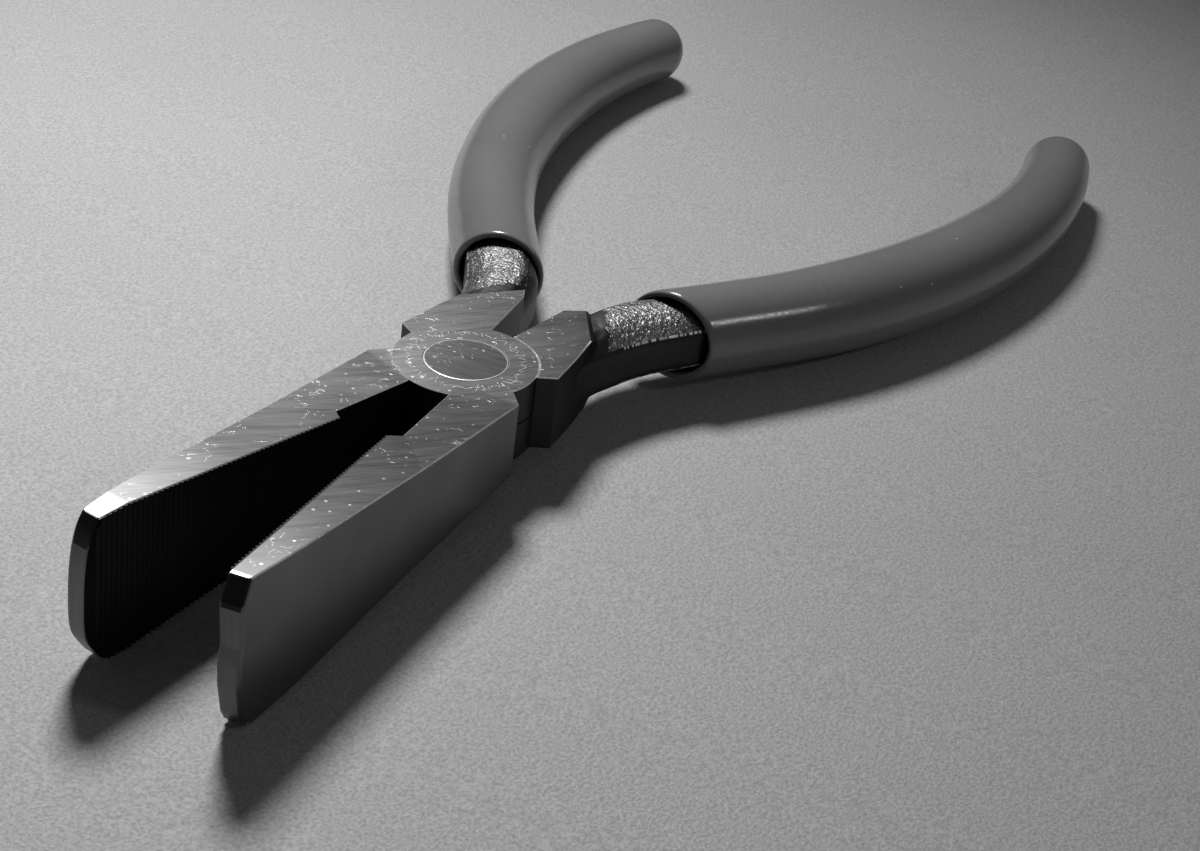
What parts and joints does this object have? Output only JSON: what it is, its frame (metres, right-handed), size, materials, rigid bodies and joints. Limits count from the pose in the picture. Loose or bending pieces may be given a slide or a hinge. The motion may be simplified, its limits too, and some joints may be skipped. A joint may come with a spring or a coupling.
{
  "type": "flat nose pliers",
  "caption": "Lap-joint pliers with long, wide flat jaws, fine cross teeth and bowed handles in plastic sleeves.",
  "frame": {"origin": "on the pivot axis, at the joint's ground upper face", "axes": "+Z along the pivot axis out of the upper face, +X towards the jaw tips"},
  "size_m": [0.1722, 0.0804, 0.0169],
  "materials": {
    "forged_steel": "ground faces, forged necks",
    "rivet_steel": "ground flush",
    "sleeve_plastic": "satin"
  },
  "bodies": {
    "lower": {"lower_half": "forged_steel", "right_sleeve": "sleeve_plastic"},
    "upper": {"upper_half": "forged_steel", "pivot_rivet": "rivet_steel", "left_sleeve": "sleeve_plastic"}
  },
  "joints": [
    {"name": "pivot", "type": "hinge", "parent": "lower", "child": "upper", "pos_m": [0, 0, 0], "axis": [0, 0, 1], "range_deg": [-14.7, 30]}
  ]
}
